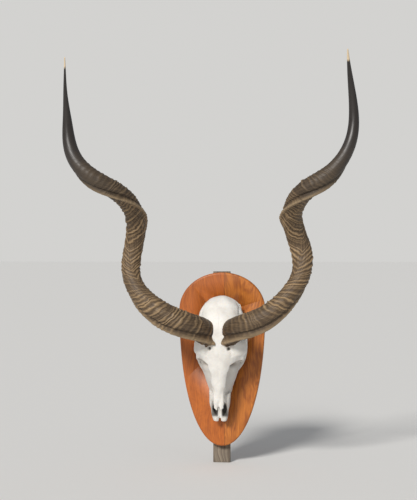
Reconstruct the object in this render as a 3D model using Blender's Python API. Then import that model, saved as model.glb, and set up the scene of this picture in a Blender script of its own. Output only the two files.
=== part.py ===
"""Kudu horns and skull on an egg-shaped wooden plaque, with a wooden batten behind it.

Metres, +Z up. The object faces -Y. The origin is on the batten's back face, level with the
middle of the plaque.
"""

import math

import bmesh
import bpy
import numpy as np
from mathutils import Matrix, Vector

# Gap kept between touching pieces, how far points may lie apart to be one point, and the
# angle above which an edge is shown sharp
GAP = 0.0003
MERGE_DISTANCE = 1e-7
SHARP_ANGLE = math.radians(40)

# Wooden batten behind the plaque
BATTEN_WIDTH = 0.054
BATTEN_THICKNESS = 0.020
BATTEN_TOP = 0.274
BATTEN_FOOT = -0.331
BATTEN_X = -0.003
BATTEN_EDGE = 0.0015

# Plaque: a half ellipse above its widest line, a longer and fuller one below it
PLAQUE_HALF_WIDTH = 0.1355
PLAQUE_WIDEST_Z = 0.154
PLAQUE_RISE = 0.117
PLAQUE_DROP = 0.429
PLAQUE_DROP_POWER = 2.12
PLAQUE_THICKNESS = 0.025
PLAQUE_FRONT_EDGE = 0.006
PLAQUE_BACK_EDGE = 0.001
PLAQUE_POINTS = 48
PLAQUE_BACK_Y = -BATTEN_THICKNESS - GAP
PLAQUE_FRONT_Y = PLAQUE_BACK_Y - PLAQUE_THICKNESS

# Countersunk screws
SCREW_HEAD_RADIUS = 0.0044
SCREW_HEAD_CONE = 0.0026
SCREW_RADIUS = 0.0022
SCREW_POINT = 0.005
SCREW_POINT_RADIUS = 0.00055
SCREW_SIDES = 8
HOLE_OPENING = 0.0009
BATTEN_SCREW_LENGTH = 0.038
BATTEN_SCREW_Z = (0.225, 0.085, -0.085, -0.225)
SKULL_SCREW_LENGTH = 0.078
SKULL_SCREW_PLACES = (
    (-0.0405, 0.161),
    (0.0505, 0.161),
    (-0.0361, 0.014),
    (0.0389, 0.014),
)

# Horns. Each row is one station of the spiral: its turn in degrees from the inner side,
# its height along the coil's axis, the coil's radius and the horn's own radius.
LEFT_STATIONS = (
    (7, -0.049, 0.072, 0.0370),
    (81, 0.062, 0.067, 0.0360),
    (152, 0.172, 0.062, 0.0290),
    (251, 0.287, 0.051, 0.0285),
    (345, 0.415, 0.036, 0.0278),
    (457, 0.533, 0.037, 0.0255),
    (563, 0.653, 0.046, 0.0193),
    (623, 0.757, 0.051, 0.0080),
    (675, 0.871, 0.071, 0.0020),
)
RIGHT_STATIONS = (
    (2, -0.036, 0.077, 0.0370),
    (78, 0.075, 0.070, 0.0340),
    (135, 0.169, 0.057, 0.0275),
    (229, 0.278, 0.051, 0.0310),
    (335, 0.394, 0.036, 0.0290),
    (425, 0.502, 0.040, 0.0285),
    (513, 0.594, 0.042, 0.0208),
    (599, 0.721, 0.061, 0.0140),
    (670, 0.882, 0.073, 0.0021),
)
# The coil's axis: its foot (outward, forward, up) and its lean outward and forward
LEFT_AXIS = ((0.123, 0.165, 0.114), 24.3, 25.6)
RIGHT_AXIS = ((0.124, 0.166, 0.101), 21.8, 24.9)
SPIRAL_SAMPLES = 2000
SPIRAL_STEP = 0.004
HORN_SIDES = 14
KEEL_ANGLE = math.radians(50)
KEEL_RISE = 0.28
KEEL_WIDTH = 0.42
RING_COUNT = 29
RING_END = 0.68
RING_HEIGHT = 0.0026
RING_FADE_START = 1.1
RING_SWEEP = 1.0
SWEEP_START = 0.06
SWEEP_FADE = 0.25
SMOOTH_ROWS = 10
SOCKET_DEPTH = 0.140
SOCKET_CLEARANCE = 0.0005

# The skull hangs a little to one side and its nose swings a little to the other
SKULL_OFFSET = 0.0035
SKULL_PIVOT_Z = 0.100
SKULL_TILT = math.radians(1.4)
# Its left eye socket stands a little nearer to the middle
LEFT_NARROWING = 0.07
NARROWING_Z = 0.036
NARROWING_SPREAD = 0.035

# Skull. Depths are measured forward from the plaque's face.
# Each row of the main form: height, half width in front, half width at the back,
# depth of its back and depth of its front.
SKULL_ROWS = (
    (0.2010, 0.010, 0.010, 0.052, 0.072),
    (0.1950, 0.026, 0.028, 0.036, 0.094),
    (0.1800, 0.047, 0.051, 0.024, 0.116),
    (0.1600, 0.060, 0.065, 0.022, 0.132),
    (0.1290, 0.066, 0.072, 0.026, 0.145),
    (0.0950, 0.068, 0.054, 0.032, 0.152),
    (0.0680, 0.098, 0.042, 0.038, 0.150),
    (0.0470, 0.110, 0.038, 0.038, 0.145),
    (0.0270, 0.106, 0.040, 0.034, 0.141),
    (0.0110, 0.072, 0.054, 0.024, 0.138),
    (-0.0160, 0.052, 0.066, 0.016, 0.131),
    (-0.0380, 0.040, 0.063, 0.014, 0.124),
    (-0.0600, 0.031, 0.056, 0.014, 0.117),
    (-0.0800, 0.025, 0.047, 0.014, 0.111),
    (-0.1000, 0.020, 0.039, 0.015, 0.105),
    (-0.1220, 0.017, 0.032, 0.016, 0.099),
)
SKULL_SIDES = 18
SKULL_POWER = 2.3

# Bars on each side of the skull: path points (outward, depth, up) with half width and half depth
ARCH = (
    (0.048, 0.062, -0.030, 0.007, 0.012),
    (0.064, 0.062, -0.004, 0.008, 0.013),
    (0.075, 0.061, 0.026, 0.007, 0.012),
    (0.075, 0.058, 0.064, 0.006, 0.010),
    (0.069, 0.054, 0.106, 0.006, 0.009),
    (0.056, 0.050, 0.142, 0.009, 0.010),
)
MASTOID = (
    (0.045, 0.0003, 0.160, 0.007, 0.009),
    (0.045, 0.014, 0.160, 0.009, 0.012),
    (0.048, 0.038, 0.164, 0.012, 0.016),
)
PREMAXILLA = (
    (0.0275, 0.060, -0.095, 0.0045, 0.022),
    (0.0272, 0.052, -0.125, 0.0034, 0.018),
    (0.0243, 0.044, -0.148, 0.0036, 0.013),
    (0.0178, 0.038, -0.167, 0.0072, 0.009),
    (0.0108, 0.034, -0.180, 0.0096, 0.008),
    (0.0098, 0.032, -0.188, 0.0068, 0.005),
)
MIDDLE_PROCESS = (
    (0.0048, 0.036, -0.105, 0.0044, 0.006),
    (0.0050, 0.034, -0.150, 0.0042, 0.005),
    (0.0050, 0.032, -0.182, 0.0048, 0.004),
)
PALATE = (
    (0.0, 0.034, -0.090, 0.032, 0.006),
    (0.0, 0.034, -0.125, 0.028, 0.004),
    (0.0, 0.033, -0.150, 0.024, 0.003),
    (0.0, 0.032, -0.174, 0.014, 0.003),
)
NASAL = (
    (0.0080, 0.0980, -0.070, 0.0084, 0.0090),
    (0.0082, 0.0945, -0.110, 0.0084, 0.0065),
    (0.0082, 0.0915, -0.135, 0.0078, 0.0050),
    (0.0058, 0.0890, -0.151, 0.0028, 0.0030),
)
NASAL_PRONG = (
    (0.0115, 0.0925, -0.125, 0.0050, 0.0045),
    (0.0138, 0.0890, -0.146, 0.0026, 0.0028),
)
BAR_SIDES = 8
TOOTH_COUNT = 6
TOOTH_ROW_TOP = 0.010
TOOTH_ROW_FOOT = -0.104
TOOTH_ROW_OUT = (0.047, 0.027)
TOOTH_HALF_WIDTH = (0.0105, 0.0065)
TOOTH_HEIGHT = 0.045
TOOTH_WAIST = 0.72
TOOTH_NOTCH = 0.004
TOOTH_POWER = 3.5
ORBIT_CENTRE = (0.066, 0.088, 0.036)
ORBIT_RADIUS = 0.028
ORBIT_RIM = 0.0080
ORBIT_RIM_SIDES = 7
ORBIT_RIM_STEPS = 14
ORBIT_TURN = math.radians(6)
ORBIT_HOLLOW = (0.036, 0.022, 0.023)
ORBIT_HOLLOW_OUT = 0.016
CONDYLE_CENTRE = (0.019, 0.040, 0.178)
CONDYLE_RADIUS = 0.017
NOSE_HOLLOW = (0.0, 0.058, -0.128)
NOSE_HOLLOW_SIZE = (0.011, 0.024, 0.040)
BALL_SEGMENTS = 12
BALL_RINGS = 7


def clear_scene():
    for item in list(bpy.data.objects):
        bpy.data.objects.remove(item, do_unlink=True)


def material(name, colour, roughness, metallic=0.0):
    made = bpy.data.materials.new(name)
    made.use_nodes = True
    shader = made.node_tree.nodes["Principled BSDF"]
    shader.inputs["Base Color"].default_value = (*colour, 1.0)
    shader.inputs["Roughness"].default_value = roughness
    shader.inputs["Metallic"].default_value = metallic
    made.diffuse_color = (*colour, 1.0)
    return made


def add_object(name, bm, finish=None):
    """Turn a bmesh into an object of the scene, shaded smooth between its sharp edges."""
    mesh = bpy.data.meshes.new(name)
    bm.to_mesh(mesh)
    bm.free()
    mesh.shade_smooth()
    mesh.set_sharp_from_angle(angle=SHARP_ANGLE)
    made = bpy.data.objects.new(name, mesh)
    bpy.context.collection.objects.link(made)
    if finish:
        mesh.materials.append(finish)
    return made


def mark_as_cutter(made):
    made.hide_render = True
    made.display_type = "WIRE"
    return made


def add_grown(name, bm):
    """A piece of bone that a Boolean joins to the skull or takes from it."""
    for vert in bm.verts:
        if vert.co.x < 0:
            apart = (vert.co.z - NARROWING_Z) / NARROWING_SPREAD
            vert.co.x *= 1 - LEFT_NARROWING * math.exp(-apart**2)
    place = Matrix.Translation((SKULL_OFFSET, 0, SKULL_PIVOT_Z))
    place @= Matrix.Rotation(SKULL_TILT, 4, "Y") @ Matrix.Translation((0, 0, -SKULL_PIVOT_Z))
    bmesh.ops.transform(bm, verts=bm.verts, matrix=place)
    return mark_as_cutter(add_object(name, bm))


def add_boolean(target, other, operation):
    boolean = target.modifiers.new(other.name, "BOOLEAN")
    boolean.operation = operation
    boolean.object = other
    boolean.solver = "EXACT"


def skin(rings):
    """A closed skin through rings of points, capped at both ends."""
    rows, sides, _ = rings.shape
    bm = bmesh.new()
    bmesh.ops.create_grid(bm, x_segments=sides, y_segments=rows - 1, size=1.0)
    bm.verts.ensure_lookup_table()
    for index, vert in enumerate(bm.verts):
        row, side = divmod(index, sides + 1)
        vert.co = rings[row][side % sides]
    bmesh.ops.remove_doubles(bm, verts=bm.verts, dist=MERGE_DISTANCE)
    bmesh.ops.holes_fill(bm, edges=bm.edges, sides=0)
    bmesh.ops.triangulate(bm, faces=bm.faces, quad_method="FIXED", ngon_method="BEAUTY")
    bmesh.ops.recalc_face_normals(bm, faces=bm.faces)
    return bm


def smooth_through(rows, places):
    """Values read from a natural cubic curve through evenly numbered rows."""
    rows = np.asarray(rows, float)
    count = len(rows)
    matrix = np.eye(count)
    rises = np.zeros_like(rows)
    for index in range(1, count - 1):
        matrix[index, index - 1:index + 2] = (1, 4, 1)
        rises[index] = 6 * (rows[index + 1] - 2 * rows[index] + rows[index - 1])
    bends = np.linalg.solve(matrix, rises)
    places = np.clip(places, 0, count - 1)
    start = np.minimum(places.astype(int), count - 2)
    after = (places - start)[..., None]
    before = 1 - after
    straight = before * rows[start] + after * rows[start + 1]
    bent = (before**3 - before) * bends[start] + (after**3 - after) * bends[start + 1]
    return straight + bent / 6


def unit(vectors):
    return vectors / np.linalg.norm(vectors, axis=-1, keepdims=True)


class Horn:
    """One horn's spiral centre line, read by the share of its length from base to tip."""

    def __init__(self, side, stations, axis):
        foot, lean_out, lean_forward = axis
        self.side = side
        self.stations = stations
        self.foot = np.array(foot)
        lean = (math.tan(math.radians(lean_out)), math.tan(math.radians(lean_forward)), 1)
        self.axis = unit(np.array(lean))
        outward = np.array((1.0, 0.0, 0.0))
        self.inward = unit(outward @ self.axis * self.axis - outward)
        self.forward = np.cross(self.inward, self.axis)
        places = np.linspace(0, len(stations) - 1, SPIRAL_SAMPLES)
        points = self.spiral(places)[0]
        steps = np.linalg.norm(np.diff(points, axis=0), axis=1)
        self.lengths = np.concatenate(([0.0], np.cumsum(steps)))
        self.places = places

    def spiral(self, places):
        values = smooth_through(self.stations, places)
        turn = np.radians(values[..., 0:1])
        radial = np.cos(turn) * self.inward + np.sin(turn) * self.forward
        points = self.foot + values[..., 1:2] * self.axis + values[..., 2:3] * radial
        return points, radial, values[..., 3:4]

    def section(self, share):
        """Centre, the two section axes and the radius at each share of the length."""
        length = self.lengths[-1]
        places = np.interp(share * length, self.lengths, self.places)
        centre, radial, radius = self.spiral(places)
        after = self.spiral(places + SPIRAL_STEP)[0]
        tangent = unit(after - self.spiral(places - SPIRAL_STEP)[0])
        radial = unit(radial - np.sum(radial * tangent, axis=-1, keepdims=True) * tangent)
        baseward = np.cross(radial, tangent)
        return centre, radial, baseward, radius

    def surface(self, share, angle, rise=0.0, clearance=0.0):
        """World points on the horn's skin, raised by a share of its radius."""
        centre, radial, baseward, radius = self.section(share)
        turn = (angle - KEEL_ANGLE + math.pi) % (2 * math.pi) - math.pi
        keel = KEEL_RISE * np.exp(-((turn / KEEL_WIDTH) ** 2))
        reach = radius * (1 + keel)[..., None] + np.expand_dims(rise, -1) + clearance
        spoke = np.cos(angle)[..., None] * radial + np.sin(angle)[..., None] * baseward
        points = centre + reach * spoke
        return points * np.array((self.side, -1.0, 1.0))


def horn_rows():
    """Shares of the length at ring valleys and crests, then along the smooth end."""
    ringed = np.linspace(0.0, RING_END, 2 * RING_COUNT + 1)
    plain = np.linspace(RING_END, 1.0, SMOOTH_ROWS + 1)[1:]
    return np.concatenate((ringed, plain))


def horn_rings(horn, clearance=0.0):
    rows = horn_rows()
    angles = KEEL_ANGLE + np.linspace(0, 2 * math.pi, HORN_SIDES, endpoint=False)
    share, angle = np.meshgrid(rows, angles, indexing="ij")
    length = horn.lengths[-1]
    radius = horn.section(share)[3][..., 0]
    fade = np.clip(share / SWEEP_START, 0, 1) * np.clip((1 - share) / SWEEP_FADE, 0, 1)
    sweep = RING_SWEEP * radius * fade * np.cos(angle - KEEL_ANGLE) / length
    crest = np.zeros(len(rows))
    crest[1:2 * RING_COUNT:2] = 1.0
    height = RING_HEIGHT * np.clip(RING_FADE_START - rows / RING_END, 0, 1) * crest
    rise = np.broadcast_to(height[:, None], share.shape)
    return horn.surface(share + sweep, angle, rise, clearance)


def make_horn(name, horn, finish):
    return add_object(name, skin(horn_rings(horn)), finish)


def make_socket_cutter(name, horn):
    """The foot of the horn, a little larger, to cut its seat in the bone."""
    rows = horn_rows() * horn.lengths[-1]
    count = int(np.searchsorted(rows, SOCKET_DEPTH))
    rings = horn_rings(horn, SOCKET_CLEARANCE)[:count]
    back = unit(rings[0].mean(axis=0) - rings[1].mean(axis=0)) * SOCKET_CLEARANCE
    rings[0] += back
    return mark_as_cutter(add_object(name, skin(rings)))


def oval(angles, power):
    """Points of a full oval, rounder at power 2 and squarer above it."""
    across = np.sign(np.cos(angles)) * np.abs(np.cos(angles)) ** (2 / power)
    along = np.sign(np.sin(angles)) * np.abs(np.sin(angles)) ** (2 / power)
    return across, along


def make_skull_form():
    angles = np.linspace(0, 2 * math.pi, SKULL_SIDES, endpoint=False)
    across, along = oval(angles, SKULL_POWER)
    rings = []
    for height, front_half, back_half, back, front in SKULL_ROWS:
        half = back_half + (front_half - back_half) * (along + 1) / 2
        depth = back + (front - back) * (along + 1) / 2
        ring = np.stack((across * half, PLAQUE_FRONT_Y - depth, np.full(SKULL_SIDES, height)), 1)
        rings.append(ring)
    return add_grown("skull_form", skin(np.array(rings)))


def bar(name, rows, side):
    """A tapering bar through path points given outward, in depth and up."""
    rows = np.array(rows)
    path = rows[:, :3] * np.array((side, -1.0, 1.0)) + np.array((0.0, PLAQUE_FRONT_Y, 0.0))
    tangents = unit(np.gradient(path, axis=0))
    angles = np.linspace(0, 2 * math.pi, BAR_SIDES, endpoint=False)
    rings = []
    for point, tangent, size in zip(path, tangents, rows[:, 3:]):
        deep = unit(np.cross(tangent, (1.0, 0.0, 0.0)))
        wide = np.cross(deep, tangent)
        spokes = np.outer(np.cos(angles) * size[0], wide) + np.outer(np.sin(angles) * size[1], deep)
        rings.append(point + spokes)
    return add_grown(name, skin(np.array(rings)))


def tooth_row(name, side):
    """One row of cheek teeth, fused, with a waist between each two."""
    angles = np.linspace(0, 2 * math.pi, BAR_SIDES, endpoint=False) + math.pi / BAR_SIDES
    across, along = oval(angles, TOOTH_POWER)
    rings = []
    for index in range(2 * TOOTH_COUNT + 1):
        share = index / (2 * TOOTH_COUNT)
        waist = 1.0 if index % 2 else TOOTH_WAIST
        half = waist * (TOOTH_HALF_WIDTH[0] + (TOOTH_HALF_WIDTH[1] - TOOTH_HALF_WIDTH[0]) * share)
        out = TOOTH_ROW_OUT[0] + (TOOTH_ROW_OUT[1] - TOOTH_ROW_OUT[0]) * share
        height = TOOTH_ROW_TOP + (TOOTH_ROW_FOOT - TOOTH_ROW_TOP) * share
        middle = (TOOTH_HEIGHT + GAP) / 2 + (1 - waist) * TOOTH_NOTCH
        deep = TOOTH_HEIGHT + GAP - middle - GAP
        depth = middle + along * deep
        ring = np.stack((side * (out + across * half), PLAQUE_FRONT_Y - depth,
                         np.full(BAR_SIDES, height)), 1)
        rings.append(ring)
    return add_grown(name, skin(np.array(rings)))


def orbit_place(side):
    out, depth, height = ORBIT_CENTRE
    place = Vector((side * out, PLAQUE_FRONT_Y - depth, height))
    return Matrix.Translation(place) @ Matrix.Rotation(side * ORBIT_TURN, 4, "Z")


def orbit_rim(name, side):
    """The raised bony rim round an eye socket."""
    bm = bmesh.new()
    made = bmesh.ops.create_circle(bm, segments=ORBIT_RIM_SIDES, radius=ORBIT_RIM)
    bmesh.ops.translate(bm, verts=made["verts"], vec=(0, ORBIT_RADIUS, 0))
    bmesh.ops.spin(bm, geom=bm.verts[:] + bm.edges[:], cent=(0, 0, 0), axis=(1, 0, 0),
                   angle=2 * math.pi, steps=ORBIT_RIM_STEPS, use_merge=True)
    bmesh.ops.transform(bm, verts=bm.verts, matrix=orbit_place(side))
    bmesh.ops.recalc_face_normals(bm, faces=bm.faces)
    return add_grown(name, bm)


def ball(name, centre, radii):
    bm = bmesh.new()
    bmesh.ops.create_uvsphere(bm, u_segments=BALL_SEGMENTS, v_segments=BALL_RINGS, radius=1.0)
    bmesh.ops.scale(bm, verts=bm.verts, vec=radii)
    bmesh.ops.translate(bm, verts=bm.verts, vec=centre)
    return add_grown(name, bm)


def make_skull(finish, horns, screws):
    """The skull: its main form with the bars, rims and teeth grown onto it, then hollowed."""
    skull = make_skull_form()
    skull.name = "skull"
    skull.hide_render = False
    skull.display_type = "TEXTURED"
    skull.data.materials.append(finish)
    for side, word in ((-1, "left"), (1, "right")):
        grown = (
            orbit_rim(word + "_orbit_rim", side),
            bar(word + "_arch", ARCH, side),
            bar(word + "_mastoid", MASTOID, side),
            bar(word + "_premaxilla", PREMAXILLA, side),
            bar(word + "_middle_process", MIDDLE_PROCESS, side),
            bar(word + "_nasal", NASAL, side),
            bar(word + "_nasal_prong", NASAL_PRONG, side),
            tooth_row(word + "_teeth", side),
            ball(word + "_condyle", skull_place(CONDYLE_CENTRE, side), [CONDYLE_RADIUS] * 3),
        )
        for piece in grown:
            add_boolean(skull, piece, "UNION")
    add_boolean(skull, bar("palate", PALATE, 1), "UNION")
    for side, word in ((-1, "left"), (1, "right")):
        centre = (ORBIT_CENTRE[0] + ORBIT_HOLLOW_OUT, *ORBIT_CENTRE[1:])
        hollow = ball(word + "_socket", skull_place(centre, side), ORBIT_HOLLOW)
        add_boolean(skull, hollow, "DIFFERENCE")
    nose = ball("nose_hollow", skull_place(NOSE_HOLLOW, 1), NOSE_HOLLOW_SIZE)
    add_boolean(skull, nose, "DIFFERENCE")
    for name, horn in horns:
        add_boolean(skull, make_socket_cutter(name + "_seat", horn), "DIFFERENCE")
    for cutter in screws:
        add_boolean(skull, cutter, "DIFFERENCE")
    return skull


def skull_place(place, side):
    out, depth, height = place
    return Vector((side * out, PLAQUE_FRONT_Y - depth, height))


def make_batten(finish):
    bm = bmesh.new()
    bmesh.ops.create_cube(bm, size=1.0)
    height = BATTEN_TOP - BATTEN_FOOT
    bmesh.ops.scale(bm, verts=bm.verts, vec=(BATTEN_WIDTH, BATTEN_THICKNESS, height))
    middle = (BATTEN_X, -BATTEN_THICKNESS / 2, BATTEN_FOOT + height / 2)
    bmesh.ops.translate(bm, verts=bm.verts, vec=middle)
    bmesh.ops.bevel(bm, geom=bm.edges[:], offset=BATTEN_EDGE, segments=1, profile=0.5,
                    affect="EDGES", material=-1)
    return add_object("back_batten", bm, finish)


def plaque_outline(angle):
    """One point of the egg-shaped outline."""
    if math.sin(angle) >= 0:
        return PLAQUE_HALF_WIDTH * math.cos(angle), PLAQUE_WIDEST_Z + PLAQUE_RISE * math.sin(angle)
    power = 2 / PLAQUE_DROP_POWER
    across = math.copysign(abs(math.cos(angle)) ** power, math.cos(angle))
    down = abs(math.sin(angle)) ** power
    return PLAQUE_HALF_WIDTH * across, PLAQUE_WIDEST_Z - PLAQUE_DROP * down


def make_plaque(finish):
    bm = bmesh.new()
    for index in range(PLAQUE_POINTS):
        x, z = plaque_outline(2 * math.pi * index / PLAQUE_POINTS)
        bm.verts.new((x, PLAQUE_BACK_Y, z))
    back = bm.faces.new(bm.verts)
    grown = bmesh.ops.extrude_face_region(bm, geom=[back], use_keep_orig=True)
    front = [item for item in grown["geom"] if isinstance(item, bmesh.types.BMVert)]
    bmesh.ops.translate(bm, verts=front, vec=(0, -PLAQUE_THICKNESS, 0))
    bmesh.ops.recalc_face_normals(bm, faces=bm.faces)
    for y, width, segments in ((PLAQUE_FRONT_Y, PLAQUE_FRONT_EDGE, 2),
                               (PLAQUE_BACK_Y, PLAQUE_BACK_EDGE, 1)):
        edges = [edge for edge in bm.edges if all(abs(v.co.y - y) < MERGE_DISTANCE for v in edge.verts)]
        bmesh.ops.bevel(bm, geom=edges, offset=width, segments=segments, profile=0.5,
                        affect="EDGES", material=-1)
    return add_object("plaque", bm, finish)


def screw_rings(x, back_y, z, length, clearance):
    """Rings of a countersunk screw that points towards -Y, with its head just below back_y."""
    angles = np.linspace(0, 2 * math.pi, SCREW_SIDES, endpoint=False)
    head = SCREW_HEAD_RADIUS + clearance
    shank = SCREW_RADIUS + clearance
    profile = (
        (head, -HOLE_OPENING),
        (head, GAP + clearance),
        (shank, GAP + SCREW_HEAD_CONE + clearance),
        (shank, length - SCREW_POINT + clearance),
        (SCREW_POINT_RADIUS + clearance, length + clearance),
    )
    if not clearance:
        profile = profile[1:]
    rings = []
    for radius, depth in profile:
        ring = (x + radius * np.cos(angles), np.full(SCREW_SIDES, back_y - depth),
                z + radius * np.sin(angles))
        rings.append(np.stack(ring, 1))
    return np.array(rings)


def make_screw(name, x, back_y, z, length, finish):
    """A screw, and the cutter of the hole that it fills."""
    screw = add_object(name, skin(screw_rings(x, back_y, z, length, 0.0)), finish)
    hole = add_object(name + "_hole", skin(screw_rings(x, back_y, z, length, GAP)))
    return screw, mark_as_cutter(hole)


def main():
    clear_scene()
    board = material("plaque_wood", (0.55, 0.24, 0.06), 0.35)
    grey_wood = material("batten_wood", (0.24, 0.20, 0.16), 0.8)
    bone = material("bone", (0.88, 0.86, 0.82), 0.6)
    horn_finish = material("horn", (0.24, 0.19, 0.13), 0.5)
    steel = material("screw_steel", (0.60, 0.60, 0.62), 0.35, 1.0)
    horns = (("left_horn", Horn(-1, LEFT_STATIONS, LEFT_AXIS)),
             ("right_horn", Horn(1, RIGHT_STATIONS, RIGHT_AXIS)))
    for name, horn in horns:
        make_horn(name, horn, horn_finish)
    batten = make_batten(grey_wood)
    plaque = make_plaque(board)
    skull_holes = []
    for index, z in enumerate(BATTEN_SCREW_Z):
        name = "batten_screw_%d" % (index + 1)
        hole = make_screw(name, BATTEN_X, 0.0, z, BATTEN_SCREW_LENGTH, steel)[1]
        add_boolean(batten, hole, "DIFFERENCE")
        add_boolean(plaque, hole, "DIFFERENCE")
    for index, (x, z) in enumerate(SKULL_SCREW_PLACES):
        name = "skull_screw_%d" % (index + 1)
        hole = make_screw(name, x, PLAQUE_BACK_Y, z, SKULL_SCREW_LENGTH, steel)[1]
        add_boolean(plaque, hole, "DIFFERENCE")
        skull_holes.append(hole)
    make_skull(bone, horns, skull_holes)


main()
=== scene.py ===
"""Kudu horns and skull on a wooden plaque: the finish of every surface.

Metres, +Z up. The object faces -Y and hangs by the batten behind the plaque.
"""

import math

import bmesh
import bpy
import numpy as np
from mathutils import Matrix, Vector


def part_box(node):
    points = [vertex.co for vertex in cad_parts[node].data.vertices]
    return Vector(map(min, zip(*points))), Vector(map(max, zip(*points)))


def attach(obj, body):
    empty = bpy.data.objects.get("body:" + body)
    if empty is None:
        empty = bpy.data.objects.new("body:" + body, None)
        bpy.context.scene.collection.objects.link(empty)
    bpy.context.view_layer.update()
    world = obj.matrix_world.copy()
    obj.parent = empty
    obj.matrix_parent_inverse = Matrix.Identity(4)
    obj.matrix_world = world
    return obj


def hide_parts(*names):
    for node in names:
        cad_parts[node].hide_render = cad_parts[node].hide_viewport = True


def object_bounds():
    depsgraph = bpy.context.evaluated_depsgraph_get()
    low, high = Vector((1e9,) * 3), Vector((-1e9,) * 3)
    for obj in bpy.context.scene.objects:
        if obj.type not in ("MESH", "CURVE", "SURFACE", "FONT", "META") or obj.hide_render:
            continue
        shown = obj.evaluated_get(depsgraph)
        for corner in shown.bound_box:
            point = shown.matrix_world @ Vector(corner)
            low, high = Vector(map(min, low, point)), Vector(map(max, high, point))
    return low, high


bl_info = {
    "name": "Mounted Kudu Horns",
    "version": (1, 0, 0),
    "blender": (4, 5, 0),
    "location": "View3D > Sidebar > Kudu",
    "description": "Builds two spiral horns and a bleached skull on an egg-shaped plaque",
    "category": "Add Mesh",
}

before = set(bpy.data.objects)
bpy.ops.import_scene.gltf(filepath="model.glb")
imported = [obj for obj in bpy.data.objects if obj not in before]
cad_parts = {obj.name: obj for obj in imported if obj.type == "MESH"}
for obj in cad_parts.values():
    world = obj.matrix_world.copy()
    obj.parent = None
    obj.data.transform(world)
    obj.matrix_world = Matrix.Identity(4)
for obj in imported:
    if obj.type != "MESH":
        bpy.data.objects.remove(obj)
CAD_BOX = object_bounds()

MERGE_DISTANCE = 1e-7
PLAQUE_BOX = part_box("plaque")
BATTEN_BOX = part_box("back_batten")
PLAQUE_FRONT_Y, PLAQUE_BACK_Y = [corner.y for corner in PLAQUE_BOX]

# Horns. Each row is one station of the spiral: its turn in degrees from the inner side,
# its height along the coil's axis, the coil's radius and the horn's own radius.
LEFT_STATIONS = (
    (7, -0.049, 0.072, 0.037),
    (81, 0.062, 0.067, 0.036),
    (152, 0.172, 0.062, 0.029),
    (251, 0.287, 0.051, 0.0285),
    (345, 0.415, 0.036, 0.0278),
    (457, 0.533, 0.037, 0.0255),
    (563, 0.653, 0.046, 0.0193),
    (623, 0.757, 0.051, 0.008),
    (675, 0.871, 0.071, 0.002),
)
RIGHT_STATIONS = (
    (2, -0.036, 0.077, 0.037),
    (78, 0.075, 0.07, 0.034),
    (135, 0.169, 0.057, 0.0275),
    (229, 0.278, 0.051, 0.031),
    (335, 0.394, 0.036, 0.029),
    (425, 0.502, 0.04, 0.0285),
    (513, 0.594, 0.042, 0.0208),
    (599, 0.721, 0.061, 0.014),
    (670, 0.882, 0.073, 0.0021),
)
# The coil's axis: its foot (outward, forward, up) and its lean in degrees outward and forward
LEFT_AXIS = ((0.123, 0.165, 0.114), 24.3, 25.6)
RIGHT_AXIS = ((0.124, 0.166, 0.101), 21.8, 24.9)
# Each horn: its name, its side, its spiral and the seed of its random draws
HORNS = (("left", -1, LEFT_STATIONS, LEFT_AXIS, 3), ("right", 1, RIGHT_STATIONS, RIGHT_AXIS, 8))
SPIRAL_SAMPLES = 4000
SPIRAL_STEP = 0.004
HORN_ROWS = 760
HORN_COLUMNS = 112
HORN_INSET = 0.0005
# The keel, the groove beside it and the flap below it at the base. Turns and widths are
# radians round the horn, starts, ends, fades and lengths are shares of its length.
KEEL_ANGLE = math.radians(50)
BASE_TWIST = math.radians(15)
TWIST_END = 0.22
KEEL_WIDTH = 0.19
KEEL_LINE_WIDTH = 0.15
KEEL_END = 0.8
KEEL_FADE = 0.16
GROOVE_TURN = -0.38
GROOVE_WIDTH = 0.14
GROOVE_DEPTH = 0.13
GROOVE_START = 0.03
LOBE_TURN = 0.35
LOBE_WIDTH = 0.55
LOBE_LENGTH = 0.065
LOBE_RISE = 0.013
LOBE_SHIFT = 0.0045
# Growth rings: where the first stands, how far apart they are, how much closer at the tip,
# how uneven they are, how far the gaps sink, and where the rings end and fade
RING_START = 0.008
RING_SPACING = 0.0135
RING_CROWDING = 0.25
RING_UNEVEN = 0.34
RING_SHARE = 0.66
RING_GAP = 0.38
RING_END = 0.74
RING_FADE = 0.22
FINE_RING_SPACING = 0.0042
FINE_RING_HEIGHT = 0.00028
FIBRE_WIDTH = 0.007
FIBRE_HEIGHT = 0.00026
FIBRE_FADE = 0.3
# How steeply the rings climb towards the keel, at shares of the horn's length
RING_SWEEP = ((0.0, 0.1), (0.1, 0.22), (0.18, 0.65), (0.28, 1.35), (0.45, 1.25), (0.55, 0.6),
              (0.75, 0.35))

# The skull hangs a little to one side and its nose swings a little to the other
SKULL_OFFSET = 0.0035
SKULL_PIVOT_Z = 0.1
SKULL_TILT = math.radians(1.4)
# Its left eye socket stands a little nearer to the middle
LEFT_NARROWING = 0.07
NARROWING_Z = 0.036
NARROWING_SPREAD = 0.035

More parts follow.
